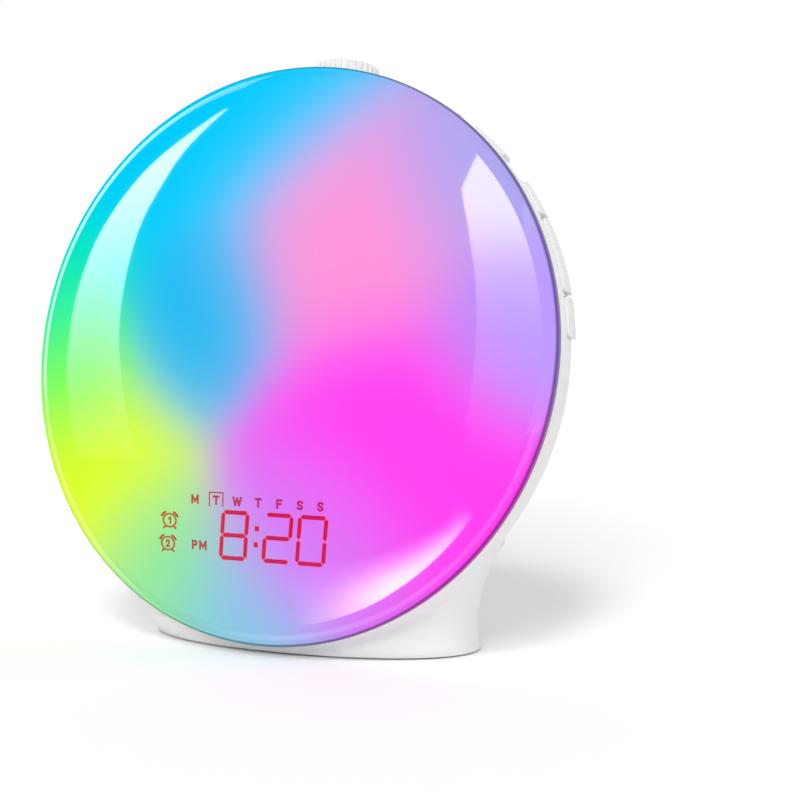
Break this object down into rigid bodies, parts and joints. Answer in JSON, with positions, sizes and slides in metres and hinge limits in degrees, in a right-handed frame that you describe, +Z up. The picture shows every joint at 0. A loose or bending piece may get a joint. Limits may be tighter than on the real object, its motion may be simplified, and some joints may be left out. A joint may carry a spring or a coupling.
{
  "type": "sunrise alarm clock",
  "caption": "Round wake-up light and alarm clock with a domed glowing face, side keys, a ribbed top dial and a flared pedestal.",
  "frame": {"origin": "on the table, under the middle of the clock's bounding box", "axes": "+Z up, +X to the right as the face is read, +Y to the back; the face looks along -Y and leans back"},
  "size_m": [0.172, 0.0805, 0.1766],
  "materials": {
    "diffuser": "translucent polycarbonate, satin inside and gloss outside",
    "housing": "white ABS, fine satin",
    "key": "white ABS, satin",
    "dial": "white ABS, ribbed",
    "foam": "black foam tape",
    "rubber": "grey rubber",
    "screw": "zinc-plated steel",
    "steel": "nickel-plated steel",
    "ferrite": "black ferrite",
    "board": "green circuit board",
    "white_board": "white solder mask",
    "lamp": "white lamp body",
    "reflector": "white polypropylene",
    "mask": "black moulded mask",
    "light_bar": "clear resin lit red",
    "chip": "black moulded parts",
    "paper": "black paper",
    "ribbon": "flat ribbon",
    "lead": "insulated wire"
  },
  "bodies": {
    "clock": {"main_housing": "housing", "front_diffuser": "diffuser", "gasket_tape": "foam", "rear_panel": "housing", "rear_screws": "screw", "base_plate": "housing", "base_screws": "screw", "rubber_feet": "rubber", "battery_door": "housing", "battery_door_screw": "screw", "coin_cell": "steel", "cell_holder": "chip", "reflector_bowl": "reflector", "led_board": "white_board", "rgb_leds": "lamp", "led_board_screws": "screw", "display_mask": "mask", "display_segments": "light_bar", "display_board": "board", "display_stands": "housing", "display_ribbon": "ribbon", "main_board": "board", "main_board_parts": "chip", "main_board_screws": "screw", "key_board": "board", "key_board_screws": "screw", "tact_switches": "chip", "rocker_pin": "steel", "encoder_body": "steel", "encoder_nut": "steel", "encoder_board": "board", "encoder_ribbon": "ribbon", "speaker_basket": "steel", "speaker_magnet": "ferrite", "speaker_surround": "rubber", "speaker_screws": "screw", "speaker_leads": "lead", "inlet_board": "board", "power_inlet": "steel"},
    "key_1": {"key_1": "key", "key_1_plunger": "chip"},
    "key_2": {"key_2": "key", "key_2_plunger": "chip"},
    "key_3": {"key_3": "key", "key_3_plunger": "chip"},
    "key_5": {"key_5": "key", "key_5_plunger": "chip"},
    "rocker_key": {"rocker_key": "key"},
    "encoder_shaft": {"encoder_shaft": "steel"},
    "dial_knob": {"dial_knob": "dial"},
    "speaker_cone": {"speaker_cone": "paper"}
  },
  "joints": [
    {"name": "key_1_press", "type": "slide", "parent": "clock", "child": "key_1", "axis": [-0.4594, -0.1628, -0.8732], "range_m": [0, 0.0006], "stiffness_N_per_m": 900},
    {"name": "key_2_press", "type": "slide", "parent": "clock", "child": "key_2", "axis": [-0.658, -0.138, -0.7402], "range_m": [0, 0.0006], "stiffness_N_per_m": 900},
    {"name": "key_3_press", "type": "slide", "parent": "clock", "child": "key_3", "axis": [-0.8305, -0.1021, -0.5476], "range_m": [0, 0.0006], "stiffness_N_per_m": 900},
    {"name": "key_5_press", "type": "slide", "parent": "clock", "child": "key_5", "axis": [-0.9876, -0.0288, -0.1546], "range_m": [0, 0.0006], "stiffness_N_per_m": 900},
    {"name": "rocker_tip", "type": "hinge", "parent": "clock", "child": "rocker_key", "pos_m": [0.07387, -0.00291, 0.11462], "axis": [0, -0.9831, 0.1833], "range_deg": [-2.5, 2.5], "stiffness_Nm_per_rad": 0.25},
    {"name": "dial_press", "type": "slide", "parent": "clock", "child": "encoder_shaft", "axis": [0, -0.1833, -0.9831], "range_m": [0, 0.0005], "stiffness_N_per_m": 3000},
    {"name": "dial_turn", "type": "hinge", "parent": "encoder_shaft", "child": "dial_knob", "pos_m": [0, 0.02005, 0.17229], "axis": [0, 0.1833, 0.9831], "continuous": true},
    {"name": "speaker_cone_stroke", "type": "slide", "parent": "clock", "child": "speaker_cone", "axis": [0, 0.9831, -0.1833], "range_m": [-0.0005, 0.0005], "stiffness_N_per_m": 800}
  ]
}
